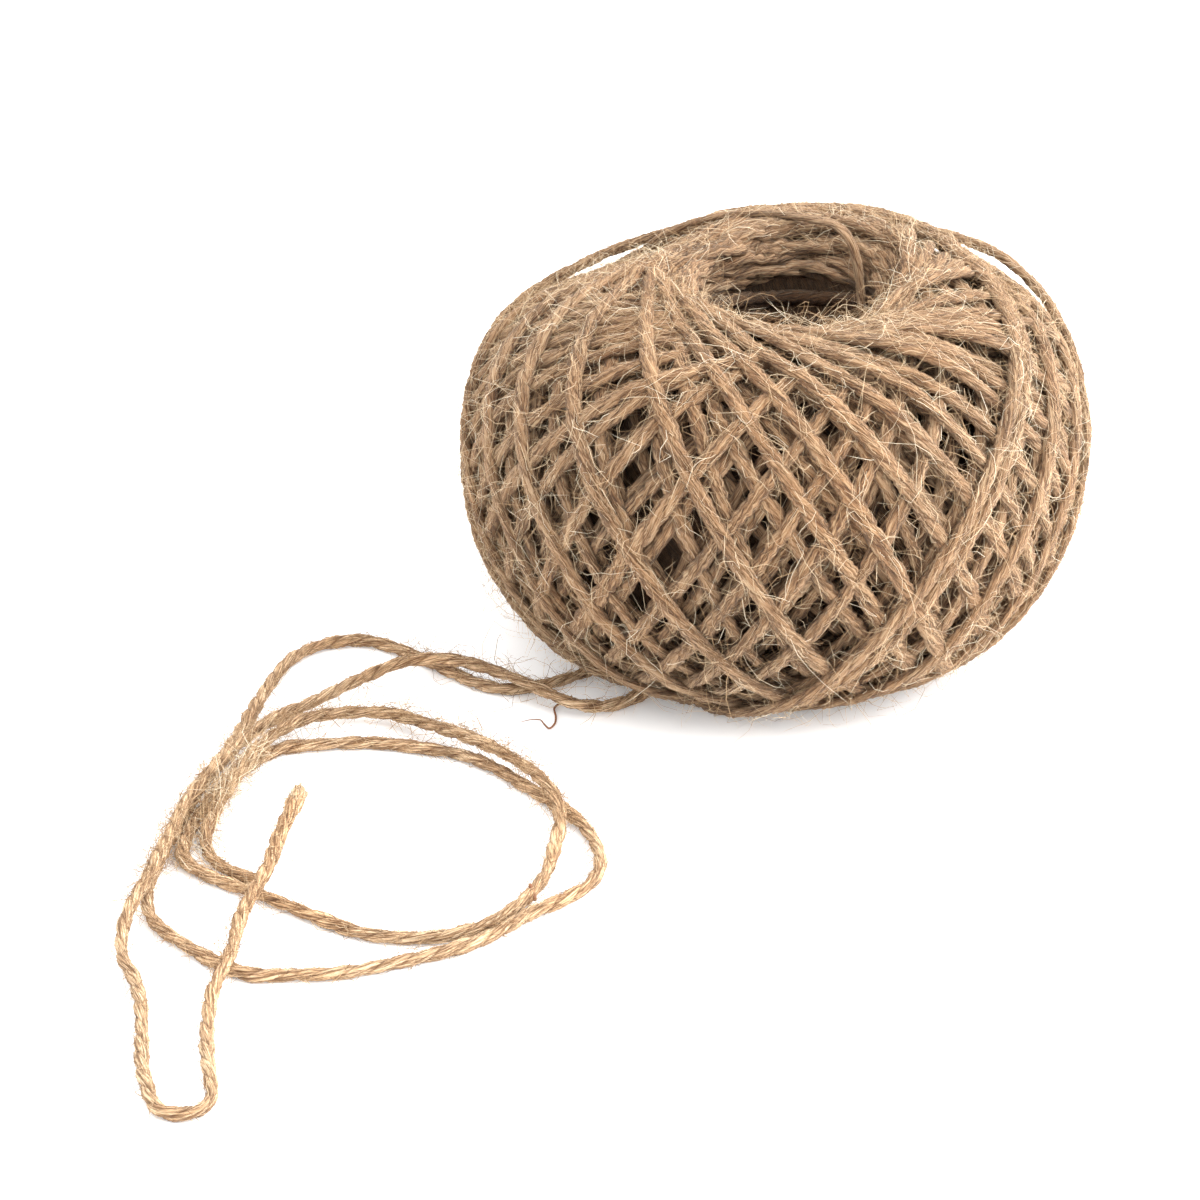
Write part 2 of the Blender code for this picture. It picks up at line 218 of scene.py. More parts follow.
def jute_material(name, lay, shade, streaks):
    """Dry jute, from the strand's own u and v. The fibres are noise over (cos f, sin f, 60 v)
    with f = 2 pi u + 0.75 w and w = 2 pi v / lay, so that they run nearly straight along the
    strand while the plies turn. They blend dark, middle and pale brown. A second and finer
    noise adds single straw fibres and thin dark streaks, painted shade in the gaps between the
    fibres, and these get more common as streaks grows.
    A slow noise reddens some stretches, and the groove between the plies, where |sin(2 pi u)|
    is small, is darker: painted shade. The whole colour is times shade, a painted light and
    shade factor for each copy of the jute, bright for the loose ends, darker for the wound ball
    and darkest inside it, which also tunes the hue. The fibre noises and the groove values also
    make the bump."""
    dark_brown = (0.16, 0.076, 0.028)
    middle_brown = (0.42, 0.245, 0.126)
    pale_brown = (0.64, 0.42, 0.245)
    straw = (0.82, 0.62, 0.40)
    # painted shade in the thin gaps between the fibres
    fibre_gap_shade = (0.11, 0.05, 0.018)
    reddening = (1.0, 0.84, 0.66)
    groove_shade = (0.42, 0.31, 0.22)
    fibre_slant = 0.75  # turns of the fibres for each turn of the plies
    fibre_stretch = 60.0  # how slowly the fibre noise changes along the strand
    bump_height = 0.00055
    material = bpy.data.materials.new(name)
    material.use_nodes = True
    nodes = material.node_tree.nodes
    link = material.node_tree.links.new
    shader = nodes["Principled BSDF"]
    shader.inputs["Roughness"].default_value = 0.8
    shader.inputs["Specular IOR Level"].default_value = 0.3
    shader.inputs["Sheen Weight"].default_value = 0.2
    shader.inputs["Sheen Roughness"].default_value = 0.5
    shader.inputs["Sheen Tint"].default_value = (0.95, 0.80, 0.60, 1.0)

    def value(operation, *sources):
        node = nodes.new("ShaderNodeMath")
        node.operation = operation
        for number, source in enumerate(sources):
            if isinstance(source, (int, float)):
                node.inputs[number].default_value = source
            else:
                link(source, node.inputs[number])
        return node.outputs[0]

    def noise(vector, scale, detail, roughness=0.6, distortion=0.0):
        node = nodes.new("ShaderNodeTexNoise")
        node.inputs["Scale"].default_value = scale
        node.inputs["Detail"].default_value = detail
        node.inputs["Roughness"].default_value = roughness
        node.inputs["Distortion"].default_value = distortion
        link(vector, node.inputs["Vector"])
        return node.outputs["Fac"]

    def between(source, low, high, first, last):
        node = nodes.new("ShaderNodeMapRange")
        keys = ("From Min", "From Max", "To Min", "To Max")
        for key, number in zip(keys, (low, high, first, last)):
            node.inputs[key].default_value = number
        link(source, node.inputs["Value"])
        return node.outputs[0]

    def mix(factor, one, other, blend="MIX"):
        node = nodes.new("ShaderNodeMix")
        node.data_type = "RGBA"
        node.blend_type = blend
        for key, source in (("Factor", factor), ("A", one), ("B", other)):
            if isinstance(source, tuple):
                node.inputs[key].default_value = (*source, 1.0)
            elif isinstance(source, float):
                node.inputs[key].default_value = source
            else:
                link(source, node.inputs[key])
        return node.outputs["Result"]

    uv = nodes.new("ShaderNodeUVMap")
    uv.uv_map = "strand"
    split = nodes.new("ShaderNodeSeparateXYZ")
    link(uv.outputs["UV"], split.inputs[0])
    angle = value("MULTIPLY", split.outputs["X"], 2 * math.pi)
    length = split.outputs["Y"]
    fibre_angle = value("MULTIPLY_ADD", length, fibre_slant * 2 * math.pi / lay, angle)
    place = nodes.new("ShaderNodeCombineXYZ")
    link(value("COSINE", fibre_angle), place.inputs[0])
    link(value("SINE", fibre_angle), place.inputs[1])
    link(value("MULTIPLY", length, fibre_stretch), place.inputs[2])
    fibres = noise(place.outputs[0], 3.6, 6.0, 0.72, 0.4)
    shifted = nodes.new("ShaderNodeVectorMath")
    shifted.operation = "ADD"
    shifted.inputs[1].default_value = (7.3, 2.1, 4.7)
    link(place.outputs[0], shifted.inputs[0])
    single = noise(shifted.outputs[0], 5.0, 3.0, 0.6, 0.6)

    coordinates = nodes.new("ShaderNodeTexCoord")
    patch = noise(coordinates.outputs["Object"], 130.0, 3.0)
    slow = noise(coordinates.outputs["Object"], 38.0, 2.0)
    tone = value("ADD", fibres, value("MULTIPLY_ADD", patch, 0.30, -0.15))
    ramp = colour_ramp(nodes, ((0.41, dark_brown), (0.50, middle_brown), (0.60, pale_brown)))
    link(tone, ramp.inputs["Fac"])
    straw_amount = between(single, 0.54, 0.63, 0.0, 0.85)
    colour = mix(straw_amount, ramp.outputs["Color"], straw)
    # Painted shade: thin dark streaks where the fine noise is low, in the gaps between the fibres.
    gap_shade_amount = between(single, 0.36 + streaks, 0.44 + streaks, 0.8, 0.0)
    colour = mix(gap_shade_amount, colour, fibre_gap_shade)
    colour = mix(between(slow, 0.42, 0.62, 0.0, 0.5), colour, reddening, "MULTIPLY")
    crown = value("ABSOLUTE", value("SINE", angle))
    # Painted shade: the groove between the plies is darkened in the colour.
    colour = mix(between(crown, 0.0, 0.32, 0.9, 0.0), colour, groove_shade, "MULTIPLY")
    # Painted light and shade: each copy of the jute gets its own brightness here, and its hue.
    colour = mix(1.0, colour, shade, "MULTIPLY")
    link(colour, shader.inputs["Base Color"])

    relief = value("MULTIPLY_ADD", crown, 0.35, fibres)
    relief = value("MULTIPLY_ADD", single, 0.6, relief)
    bump = nodes.new("ShaderNodeBump")
    bump.inputs["Strength"].default_value = 1.0
    bump.inputs["Distance"].default_value = bump_height
    link(relief, bump.inputs["Height"])
    link(bump.outputs["Normal"], shader.inputs["Normal"])
    return material


# Painted light: the loose ends get a brighter copy of the same jute than the ball, as they lie in
# the open.
lit_loose_jute = jute_material("lit_loose_jute", LAY_LENGTH, (1.19, 1.22, 1.25), 0.055)


def loose_end(name, route, hidden, seed, opened):
    """A cord surface along its route, which starts at the hidden points inside the ball's
    windings. The fluff adds 4 per cent to the thickness and smooth noise varies it by 9, the
    plies have sprung open at the end, opened * exp(-(left / 12 mm)), and the last ring at
    each end is drawn in to half the size."""
    line, along = even(smooth_route(hidden + route), 0.5 * MM)
    thick = TWINE * (1.04 + 0.09 * wander(along, 9 * MM, seed))
    thick *= 1.0 + opened * np.exp(-(along[-1] - along) / (12 * MM))
    thick[[0, -1]] *= 0.5
    outward = np.tile((0.0, 0.0, 1.0), (len(line), 1))
    piece = strand_surface(
        name, line, along, outward, thick, thick, sides=16, lay=LAY_LENGTH, depth=0.26,
        rough=0.045, seed=seed
    )
    piece.data.materials.append(lit_loose_jute)
    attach(piece, "root")
    return piece, line


TAIL_HIDDEN = ((-13.0, -15.5, 3.2), (-17.0, -20.5, 1.9))
LOOPS_HIDDEN = ((-18.0, -10.5, 3.2), (-23.0, -13.5, 1.9))
tail, tail_line = loose_end("tail_twine", TAIL_ROUTE, TAIL_HIDDEN, 11, 0.3)
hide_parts("tail_end")
loops, loops_line = loose_end("looped_twine", LOOPS_ROUTE, LOOPS_HIDDEN, 12, 0.0)
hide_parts("looped_end")


# A coarse reddish fibre that curls out of the loose twine onto the table, and a chip of
# bark that is caught in the outer loop. Both came in with the jute.
BARK_BITS = (
    # name, route, thickness along it (mm)
    ("coarse_fibre", ((-29.5, -23.6, 0.8), (-31.25, -25.0, 0.35), (-31.98, -26.3, 0.3),
                      (-31.76, -29.0, 0.3), (-31.93, -31.2, 0.3), (-32.66, -32.5, 0.3),
                      (-33.4, -31.2, 0.3), (-34.0, -29.9, 0.3), (-35.4, -29.9, 0.3),
                      (-36.7, -30.5, 0.25)), (0.30, 0.34, 0.34, 0.22, 0.08)),
    ("bark_chip", ((-34.7, -79.4, 1.7), (-34.4, -80.5, 1.3), (-34.0, -81.8, 0.7)),
     (0.5, 0.6, 0.6, 0.55)),
)
bark = bpy.data.materials.new("jute_bark")
bark.use_nodes = True
bark_shader = bark.node_tree.nodes["Principled BSDF"]
bark_shader.inputs["Base Color"].default_value = (0.20, 0.08, 0.035, 1.0)
bark_shader.inputs["Roughness"].default_value = 0.7
for name, route, thickness in BARK_BITS:
    line, along = even(smooth_route(route), 0.2 * MM)
    thick = MM * np.interp(along / along[-1], np.linspace(0, 1, len(thickness)), thickness)
    outward = np.tile((0.0, 0.0, 1.0), (len(line), 1))
    bit = strand_surface(
        name, line, along, outward, thick, thick, sides=8, lay=1.0, depth=0.1, rough=0.03, seed=13
    )
    bit.data.materials.append(bark)
    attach(bit, "root")
    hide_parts("looped_end")


# The wound ball.
# One long jute twine laid on by a winding arm in leaning loops. Each loop passes close to
# the hole at the top and again underneath, and each rests on the loops laid before it.
HALF_HEIGHT = float(ball_high[2] - ball_low[2]) / 2
HALF_WIDTH = float(ball_high[1] - ball_low[1]) / 2
CREST_RADIUS = 16.0 * MM  # of the rim, where the winding is highest
WAIST_RADIUS = 11.0 * MM  # of the hole at half height
FULLNESS = 2.4  # power of the rounded section: 2 is an ellipse
HOLE_LEAN = 0.085  # sideways shift of the hole for each unit of height
WOUND_WIDTH = 2.45 * MM  # the taut twine is pressed flat and wide
WOUND_HEIGHT = 1.55 * MM
WOUND_LAY = 10.0 * MM  # longer than in the loose twine
LOOP_COUNT = 180
LAST_NUMBER = -1.75  # loops are counted back, and their course is worked out this far
LOOP_STEP = 11.0  # degrees that the winding turns from one loop to the next
SQUASH = 0.62  # height that the form loses for each unit of depth
SAMPLES = 480  # points along each loop

# The last loops: where each crosses the equator on its way down, how steeply, and how close
# to the hole's rim it passes.
LAST_LOOPS = (
    # loop, crossing (degrees), tilt (degrees), reach towards the rim (share)
    (-1.5, 112, 55, 0.80),
    (-0.5, 117, 56, 0.75),
    (0.5, 121, 56, 0.73),
    (1.5, 138, 55, 0.75),
    (2.5, 155, 52, 0.75),
    (3.5, 169, 50, 0.72),
    (4.5, 183, 50, 0.80),
    (6.0, 210, 50, 0.89),
    (7.0, 225, 48, 0.90),
    (8.0, 244, 40, 0.91),
    (9.0, 264, 54, 0.92),
    (10.0, 282, 58, 0.93),
    (11.0, 290, 61, 0.96),
    (12.0, 302, 57, 0.98),
    (13.0, 313, 54, 1.00),
    (14.0, 320, 60, 0.99),
    (15.0, 328, 58, 0.98),
    (16.0, 337, 56, 1.00),
    (17.0, 342, 57, 1.00),
    (18.0, 348, 57, 0.98),
    (19.0, 354, 58, 1.00),
    (20.0, 360, 58, 0.99),
    (21.0, 366, 57, 1.00),
    (22.0, 374, 56, 1.00),
)

# Where the ball is a little flatter or fuller than its even form.
HOLLOWS = (
    # azimuth (degrees), share, depth, width in azimuth (degrees), width in share
    (150, 0.62, 2.0 * MM, 34, 0.26),
    (28, 0.55, 0.9 * MM, 34, 0.26),
    (88, 0.85, 0.2 * MM, 30, 0.25),
    (136, 0.68, 4.6 * MM, 28, 0.30),
    (345, -0.5, 1.3 * MM, 50, 0.35),
    (190, -0.35, 1.0 * MM, 45, 0.30),
    (180, 0.05, -0.8 * MM, 40, 0.45),
    (0, 0.05, 0.4 * MM, 35, 0.40),
)

# At the front the rim is lower and the hole a little wider.
FRONT_MIDDLE = math.radians(262)
FRONT_REACH = math.radians(80)
FRONT_SHARE = 0.35
FRONT_OUT = 1.0 * MM
FRONT_DOWN = 2.6 * MM

# One of the last loops is slack and stands off the ball at both sides.
SLACK = (
    # loop, lift (mm)
    (2.95, 0.0), (3.0, 1.5), (3.025, 3.1), (3.05, 3.8), (3.075, 3.1), (3.1, 2.5),
    (3.125, 2.9), (3.15, 2.1), (3.175, 1.1), (3.2, 0.8), (3.225, 0.4), (3.3, 0.1),
    (3.325, 1.4), (3.35, 2.7), (3.375, 2.4), (3.4, 1.2), (3.45, 0.5), (3.5, 0.3), (3.6, 0.0),
)

section_angle = np.linspace(0.0, math.pi / 2, 400)
section_across = np.cos(section_angle).clip(0) ** (2.0 / FULLNESS)
section_up = np.sin(section_angle) ** (2.0 / FULLNESS)
section_length = np.concatenate(([0.0], np.cumsum(np.hypot(
    np.diff(section_across) * (HALF_WIDTH - CREST_RADIUS), np.diff(section_up) * HALF_HEIGHT
))))
SECTION_LENGTH = float(section_length[-1])
section_length /= SECTION_LENGTH


def hole_radius(level):
    """Radius of the hole's wall, c = crest - (crest - waist) sqrt(1 - level^2), where level
    is 0 at half height and 1 at the top."""
    return CREST_RADIUS - (CREST_RADIUS - WAIST_RADIUS) * np.sqrt(1.0 - level**2)


def frontness(azimuth):
    """How much a place takes part in the lower front: exp(-(azimuth apart / reach)^2)."""
    away = (azimuth - FRONT_MIDDLE + math.pi) % (2 * math.pi) - math.pi
    return np.exp(-((away / FRONT_REACH) ** 2))


def form_point(share, azimuth, depth):
    """Point of the ball's form. share is the arc length from the equator, 0, to the crest
    of the rim, 1 above and -1 below, along r = c + (w - c) cos(t)^(2/n), z = h sin(t)^(2/n).
    Beyond the crest, r loses 0.4 of the further arc length. depth is how far inside: w loses
    depth, h loses SQUASH * depth, and the crest c is the hole's radius at h / whole h. Each
    hollow adds its depth times exp(-(azimuth apart / width)^2 - (share apart / width)^2),
    and the front rim moves out and down by the same rule. The lean moves the hole sideways
    and leaves the outside nearly where it is."""
    for middle, up, hollow, round_width, up_width in HOLLOWS:
        away = (azimuth - math.radians(middle) + math.pi) % (2 * math.pi) - math.pi
        away = (away / math.radians(round_width)) ** 2 + ((share - up) / up_width) ** 2
        depth = depth + hollow * np.exp(-away)
    half = HALF_HEIGHT - SQUASH * depth
    level = np.clip(half / HALF_HEIGHT, 0.0, 1.0)
    crest = hole_radius(level)
    size = np.abs(share)
    over = np.clip(size - 1.0, 0.0, 1.0)
    across = np.interp(size, section_length, section_across)
    up = np.interp(size, section_length, section_up)
    r = crest + (HALF_WIDTH - depth - crest) * across - over * 0.4 * SECTION_LENGTH
    z = HALF_HEIGHT + np.sign(share) * half * up
    front = frontness(azimuth) * np.exp(-(((share - 1.0) / FRONT_SHARE) ** 2))
    r = r + FRONT_OUT * front
    z = z - FRONT_DOWN * front
    x = r * np.cos(azimuth) + HOLE_LEAN * (z - HALF_HEIGHT) * (1.0 - 0.9 * across)
    y = r * np.sin(azimuth)
    return np.stack((x, y, z), axis=-1)


def loop_course():
    """Course of every loop, oldest first, as rows of SAMPLES points. With loop number k
    counted back and T = pi - 2 pi k, the loop is a great circle: latitude = asin(sin i
    sin T), azimuth = A + atan2(cos i sin T, cos T) - pi, and share = latitude / i * reach.
    Crossing A, tilt i and reach are the table's, and before it steps with random shifts."""
    draw = np.random.default_rng(5)
    table = np.array(LAST_LOOPS)
    older = np.arange(table[-1, 0] + 1, LOOP_COUNT + 2)
    steps = LOOP_STEP + 3.0 * draw.standard_normal(len(older))
    crossing = np.concatenate((table[:, 1], table[-1, 1] + np.cumsum(steps)))
    tilt = np.concatenate((table[:, 2], 54.0 + 6.5 * draw.standard_normal(len(older))))
    reach = np.concatenate((table[:, 3], 0.97 + 0.03 * draw.standard_normal(len(older))))
    number = np.concatenate((table[:, 0], older))
    first_number = LAST_NUMBER + LOOP_COUNT + 1
    k = first_number - np.arange((LOOP_COUNT + 1) * SAMPLES) / SAMPLES
    k = k.reshape(LOOP_COUNT + 1, SAMPLES)
    tilt = np.radians(np.interp(k, number, tilt))
    crossing = np.radians(np.interp(k, number, crossing))
    reach = np.clip(np.interp(k, number, reach), 0.6, 1.03)
    turn = math.pi - 2 * math.pi * k
    latitude = np.arcsin(np.sin(tilt) * np.sin(turn))
    swing = np.arctan2(np.cos(tilt) * np.sin(turn), np.cos(turn)) - turn
    swing = (swing + math.pi) % (2 * math.pi) - math.pi
    azimuth = crossing + turn - math.pi + swing
    lower = 0.92 - reach  # underneath, every loop passes at about the same distance
    reach = reach + np.where(latitude < 0, lower * np.abs(latitude / tilt), 0.0)
    return k, latitude / tilt * reach, azimuth


def contact_depth(share, azimuth):
    """How deep each loop lies. A height map over share and azimuth holds the surface. A loop
    lies on its highest value across the strand's width, smoothed along the strand over 15 mm
    as it is taut, and then raises the map by its own rounded top. The depth of a loop is the
    finished map, smoothed by the weights exp(-(apart / width)^2), less the loop's height."""
    rows, columns = 220, 720
    span = 1.1  # the map covers shares from -span to span
    smooth_rows, smooth_columns = 14.0, 50.0
    pressed = 0.4 * WOUND_HEIGHT  # height of a strand's middle above what it rests on
    bite = 0.45 * WOUND_HEIGHT  # how far a taut strand may press into what it crosses
    surface = np.zeros((rows, columns))
    centre = np.zeros_like(share)
    across = np.linspace(-1.0, 1.0, 7)[:, None]
    crown = 0.45 * WOUND_HEIGHT * np.sqrt(1.0 - 0.8 * across**2)
    taut = np.hanning(61)  # half of it is 15 mm of the strand
    taut /= taut.sum()
    bent = np.hanning(27)  # rounds the bends where the strand presses in
    bent /= bent.sum()
    for n in range(len(share)):
        radius = np.linalg.norm(form_point(share[n], azimuth[n], 0.0)[:, :2], axis=1)
        ahead_up = np.gradient(share[n]) * SECTION_LENGTH
        ahead_round = np.gradient(azimuth[n]) * radius
        size = np.hypot(ahead_up, ahead_round)
        offset = across * WOUND_WIDTH / 2
        up = share[n] - offset * ahead_round / size / SECTION_LENGTH
        around = azimuth[n] + offset * ahead_up / size / radius
        row = np.clip(((up / span + 1.0) / 2 * rows).astype(int), 0, rows - 1)
        column = np.floor(around / (2 * math.pi) * columns).astype(int) % columns
        beneath = surface[row, column].max(axis=0) + pressed
        eased = np.convolve(np.pad(beneath, len(taut) // 2, mode="edge"), taut, mode="valid")
        eased = np.maximum(eased, beneath - bite)
        centre[n] = np.convolve(np.pad(eased, len(bent) // 2, mode="edge"), bent, mode="valid")
        np.maximum.at(surface, (row, column), centre[n] + crown)
    rise = np.arange(rows)[:, None] - np.arange(rows)[None, :]
    round_off = np.arange(columns)[:, None] - np.arange(columns)[None, :]
    round_off = (round_off + columns // 2) % columns - columns // 2
    over_rows = np.exp(-((rise / smooth_rows) ** 2))
    over_columns = np.exp(-((round_off / smooth_columns) ** 2))
    covered = over_rows @ (surface > 0) @ over_columns
    level = over_rows @ surface @ over_columns / np.maximum(covered, 1e-9)
    place = np.clip((share / span + 1.0) / 2 * rows - 0.5, 0.0, rows - 1.001)
    turn = azimuth / (2 * math.pi) * columns - 0.5
    row, column = np.floor(place).astype(int), np.floor(turn).astype(int)
    low, left = place - row, turn - column
    column, beside = column % columns, (column + 1) % columns
    lower = level[row, column] * (1.0 - left) + level[row, beside] * left
    upper = level[row + 1, column] * (1.0 - left) + level[row + 1, beside] * left
    return lower * (1.0 - low) + upper * low - centre


# The smoothed map lies 1.35 mm inside the form. The last loops are tight, so a place that
# would lie less than 0.3 mm deep keeps 0.4 of its height above that. Then the slack loop is
# lifted as its table says.
MAP_DEPTH = 1.35 * MM
DRAWN_IN_FROM = 0.3 * MM
DRAWN_IN = 0.4
loop_number, loop_share, loop_azimuth = loop_course()
loop_depth = MAP_DEPTH + contact_depth(loop_share, loop_azimuth)
loop_depth = np.where(
    loop_depth < DRAWN_IN_FROM,
    DRAWN_IN_FROM * (1.0 - DRAWN_IN) + DRAWN_IN * loop_depth,
    loop_depth,
)
easing = np.hanning(17)
loop_lift = np.interp(loop_number.reshape(-1), *zip(*SLACK))
loop_lift = np.convolve(loop_lift, easing / easing.sum(), mode="same")
loop_depth -= loop_lift.reshape(loop_depth.shape) * MM
loop_points = form_point(loop_share, loop_azimuth, loop_depth)


def outward_of(line):
    """Direction away from the ring's middle line: p - c, where c lies on the circle of
    0.55 of the ball's half width at half height."""
    flat = line * (1.0, 1.0, 0.0)
    flat[..., 0] -= HOLE_LEAN * (line[..., 2] - HALF_HEIGHT)
    radius = np.linalg.norm(flat, axis=-1)[..., None]
    middle = flat / np.maximum(radius, 1e-6) * HALF_WIDTH * 0.55
    outward = line - middle - (0.0, 0.0, HALF_HEIGHT)
    return outward / np.linalg.norm(outward, axis=-1)[..., None]


# Painted shade: the ball's windings get a darker copy of the same jute than the loose ends.
shaded_wound_jute = jute_material("shaded_wound_jute", WOUND_LAY, (0.60, 0.56, 0.525), 0.02)
# Painted shade: the deepest turns and the ring inside get a much darker copy of the jute, as the
# gaps and the hole show them in shadow.
shaded_inner_jute = jute_material("shaded_inner_jute", WOUND_LAY, (0.21, 0.15, 0.10), 0.0)

# The newest loop ends underneath, and the loops older than the fourth pass don't show.
PASSES = (
    # name, newest loop, oldest loop, ring spacing, sides, depth of the grooves, size
    ("winding_last", -1.33, 27.0, 1.25 * MM, 12, 0.20, 1.1),
    ("winding_second", 27.0, 60.0, 1.6 * MM, 9, 0.14, 1.0),
    ("winding_third", 60.0, 93.0, 2.3 * MM, 7, 0.10, 1.0),
    ("winding_fourth", 93.0, 126.0, 3.4 * MM, 5, 0.08, 1.0),
)


def wound_piece(name, line, along, outward, sides, depth, seed, material, scale):
    """A wound strand: width and height each vary by smooth noise, long and short, and the
    last ring at each end is drawn in."""
    varied = []
    for size, step in ((WOUND_WIDTH * scale, 0), (WOUND_HEIGHT * scale, 100)):
        long = wander(along, 70 * MM, seed + step)
        short = wander(along, 11 * MM, seed + step + 1)
        varied.append(size * (1.0 + 0.07 * long + 0.05 * short))
        varied[-1][[0, -1]] *= 0.4
    piece = strand_surface(
        name, line, along, outward, *varied, sides=sides, lay=WOUND_LAY, depth=depth,
        rough=0.045, seed=seed
    )
    piece.data.materials.append(material)
    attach(piece, "root")
    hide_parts("wound_ball")


fibre_roots = []
for number, (name, newest, oldest, spacing, sides, depth, scale) in enumerate(PASSES):
    chosen = (loop_number >= newest) & (loop_number <= oldest)
    line, along = even(loop_points[chosen], spacing)
    outward = outward_of(line)
    line = line + outward * 0.12 * MM * wander(along, 17 * MM, 40 + number)[:, None]
    line[:, 2] = np.maximum(line[:, 2], WOUND_HEIGHT * 0.5)
    wound_piece(name, line, along, outward, sides, depth, 45 + number, shaded_wound_jute, scale)
    fibre_roots.append((line, outward))

# The deepest turns show only in the wall of the hole: p(f) = middle + r(z) (cos f, sin f)
# with z rising evenly, and swaying by two sines so that the turns lean and cross.
WALL_TURNS = 24
wall_angle = np.linspace(0.0, 2 * math.pi * WALL_TURNS, 3000)
wall_z = np.linspace(12.0 * MM, 51.0 * MM, len(wall_angle))
wall_z += 2.4 * MM * np.sin(wall_angle * 0.93) + 1.2 * MM * np.sin(wall_angle * 1.58 + 1.0)
wall_level = (wall_z - HALF_HEIGHT) / HALF_HEIGHT
wall_radius = hole_radius(wall_level) + 0.9 * MM + 0.4 * MM * wander(wall_angle, 3.1, 48)
wall_z -= FRONT_DOWN * frontness(wall_angle)
wall_line = np.stack((
    wall_radius * np.cos(wall_angle) + HOLE_LEAN * (wall_z - HALF_HEIGHT),
    wall_radius * np.sin(wall_angle), wall_z,
), axis=-1)
wall_line, wall_along = even(wall_line, 1.6 * MM)
wall_out = (HOLE_LEAN * (wall_line[:, 2] - HALF_HEIGHT))[:, None] * (1.0, 0.0, 0.0)
wall_out = (wall_out - wall_line) * (1.0, 1.0, 0.0)
# Painted shade: the turns in the hole's wall wear the dark inner jute.
wound_piece("winding_wall", wall_line, wall_along, wall_out, 8, 0.1, 49, shaded_inner_jute, 1.0)


def ring_surface(name, depth, columns=64, rows=34):
    """The closed ring inside all strands: outside form_point at the given depth, and inside
    the hole's wall, r = c(level) + 2.2 mm, moved over by the lean. Its UV map gives strands
    that lean: u = 44 azimuth / 2 pi + 12 row / rows, v in metres."""
    azimuth = np.linspace(0, 2 * math.pi, columns, endpoint=False)[:, None]
    share = np.linspace(-1.0, 1.0, rows)[None, :]
    outer = form_point(share + 0 * azimuth, azimuth + 0 * share, np.full((1, 1), depth))
    top = (HALF_HEIGHT - SQUASH * depth) / HALF_HEIGHT
    level = np.linspace(top, -top, rows // 2 + 2)[None, 1:-1]
    r = hole_radius(level) + 2.2 * MM
    z = HALF_HEIGHT * (1.0 + level) + 0 * azimuth
    x = r * np.cos(azimuth) + HOLE_LEAN * (z - HALF_HEIGHT)
    inner = np.stack((x, r * np.sin(azimuth), z), axis=-1)
    grid = np.concatenate((outer, inner), axis=1)
    index = np.arange(grid.shape[0] * grid.shape[1]).reshape(grid.shape[:2])
    beside = np.roll(index, -1, axis=0)
    after = np.roll(index, -1, axis=1)
    faces = np.stack((index, beside, np.roll(beside, -1, axis=1), after), axis=-1).reshape(-1, 4)
    mesh = bpy.data.meshes.new(name)
    mesh.from_pydata(grid.reshape(-1, 3), [], faces)
    mesh.polygons.foreach_set("use_smooth", np.ones(len(faces), dtype=bool))
    column, row = np.meshgrid(np.arange(grid.shape[0]), np.arange(grid.shape[1]), indexing="ij")
    column = np.stack((column, column + 1, column + 1, column), axis=-1)
    row = np.stack((row, row, row + 1, row + 1), axis=-1)
    u = 44.0 * column / grid.shape[0] + 12.0 * row / grid.shape[1]
    v = 4.0 * SECTION_LENGTH * row / grid.shape[1]
    uv = np.stack((u, v), axis=-1).reshape(-1)
    mesh.uv_layers.new(name="strand").data.foreach_set("uv", uv)
    piece = bpy.data.objects.new(name, mesh)
    bpy.context.collection.objects.link(piece)
    return piece


# The ring stands for the deeper windings and wears the dark inner jute, a sheet of painted shade
# seen through the gaps.
ring = ring_surface("winding_ring", 9.4 * MM)
ring.data.materials.append(shaded_inner_jute)
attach(ring, "root")
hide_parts("wound_ball")

# Two thinner strands cross the hole. One comes up inside its right wall, bends over and
# goes back over the rim into the winding, and a lower one leans along the back wall.
CROSSING_ROUTE = (
    (12.6, 3.5, 38.0), (12.5, 5.0, 44.0), (12.1, 6.4, 50.0), (11.4, 7.6, 55.0),
    (10.3, 8.8, 58.0), (8.6, 10.8, 59.2), (6.2, 13.6, 58.9), (2.5, 17.4, 58.2),
    (-2.0, 20.6, 57.4), (-8.0, 23.0, 56.0), (-13.5, 24.3, 53.8), (-18.5, 25.2, 50.5),
    (-22.5, 26.0, 44.8),
)
UNDER_ROUTE = (
    (-9.5, 14.5, 43.0), (-5.0, 16.6, 46.5), (-2.2, 15.9, 49.3), (2.2, 15.8, 51.8),
    (7.2, 15.4, 53.8), (11.4, 14.0, 55.2), (15.0, 12.0, 55.8), (19.0, 9.0, 55.0),
)
for name, route, seed in (
    ("winding_crossing", CROSSING_ROUTE, 50), ("winding_under", UNDER_ROUTE, 51)
):
    line, along = even(smooth_route(route), 0.7 * MM)
    wound_piece(name, line, along, outward_of(line), 12, 0.16, seed, shaded_wound_jute, 0.65)


# Stray fibres.
# Jute is a coarse bast fibre, so fine pale ends of it stand out of the twine everywhere,
# short ones all along and longer curly ones, most of all along the loose ends.
FIBRE_GAP = 0.1 * MM  # fibres lie on the table instead of under it


